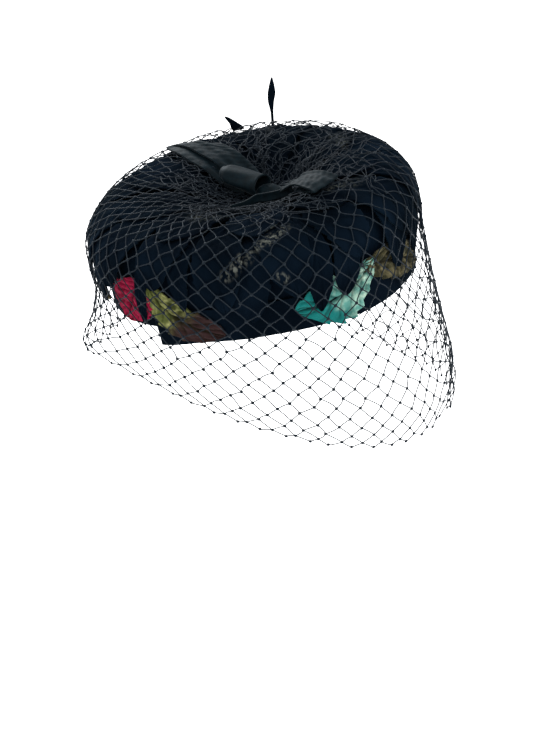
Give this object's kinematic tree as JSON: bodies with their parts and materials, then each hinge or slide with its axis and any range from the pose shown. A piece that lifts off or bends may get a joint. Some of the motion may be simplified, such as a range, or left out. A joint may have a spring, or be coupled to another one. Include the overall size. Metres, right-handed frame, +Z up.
{
  "type": "pillbox hat with veil",
  "caption": "Oval velvet pillbox hat with a sunken crown, layered velvet leaf trim, a ribbon bow and a coarse net veil that hangs below its rim.",
  "frame": {"origin": "middle of the head opening, on the plane of the lower edge, where a head carries the hat", "axes": "+Z up out of the crown, -Y to the wearer's front, -X to the wearer's right"},
  "size_m": [0.1805, 0.2103, 0.196],
  "materials": {
    "black_velvet": "black velvet with a soft sheen, dusty and worn in patches",
    "ribbon": "black satin-backed velvet ribbon",
    "net": "black knotted thread",
    "red_velvet": "embossed crimson velvet",
    "green_velvet": "embossed olive-green velvet with a purple-brown tip",
    "teal_velvet": "embossed turquoise velvet, lighter at its upper edges",
    "olive_velvet": "embossed brown-olive velvet"
  },
  "bodies": {
    "root": {"crown": "black_velvet", "rim_band": "black_velvet", "leaf_red_right": "red_velvet", "leaf_green_right": "green_velvet", "leaf_teal_right": "teal_velvet", "leaf_olive_right": "olive_velvet", "leaf_red_left": "red_velvet", "leaf_green_left": "green_velvet", "leaf_teal_left": "teal_velvet", "leaf_olive_left": "olive_velvet", "leaf_olive_back": "olive_velvet", "leaf_side_01": "black_velvet", "leaf_side_02": "black_velvet", "leaf_side_03": "black_velvet", "leaf_side_04": "black_velvet", "leaf_side_05": "black_velvet", "leaf_side_06": "black_velvet", "leaf_side_07": "black_velvet", "leaf_side_08": "black_velvet", "leaf_side_09": "black_velvet", "leaf_side_10": "black_velvet", "leaf_side_11": "black_velvet", "leaf_side_12": "black_velvet", "leaf_side_13": "black_velvet", "leaf_side_14": "black_velvet", "leaf_side_15": "black_velvet", "leaf_side_16": "black_velvet", "leaf_side_17": "black_velvet", "leaf_side_18": "black_velvet", "leaf_side_19": "black_velvet", "leaf_side_20": "black_velvet", "leaf_side_21": "black_velvet", "leaf_side_22": "black_velvet", "leaf_side_23": "black_velvet", "leaf_side_24": "black_velvet", "leaf_side_25": "black_velvet", "leaf_side_26": "black_velvet", "leaf_side_27": "black_velvet", "leaf_top_1": "black_velvet", "leaf_top_2": "black_velvet", "leaf_top_3": "black_velvet", "leaf_top_4": "black_velvet", "leaf_top_5": "black_velvet", "leaf_top_6": "black_velvet", "leaf_top_7": "black_velvet", "leaf_top_8": "black_velvet", "leaf_top_9": "black_velvet", "veil_net": "net", "bow_knot": "ribbon", "bow_loop_back": "ribbon", "bow_loop_front": "ribbon", "bow_loop_middle": "ribbon", "bow_tail_right": "ribbon", "leaf_upright": "black_velvet", "leaf_tip_far": "black_velvet"}
  },
  "joints": []
}
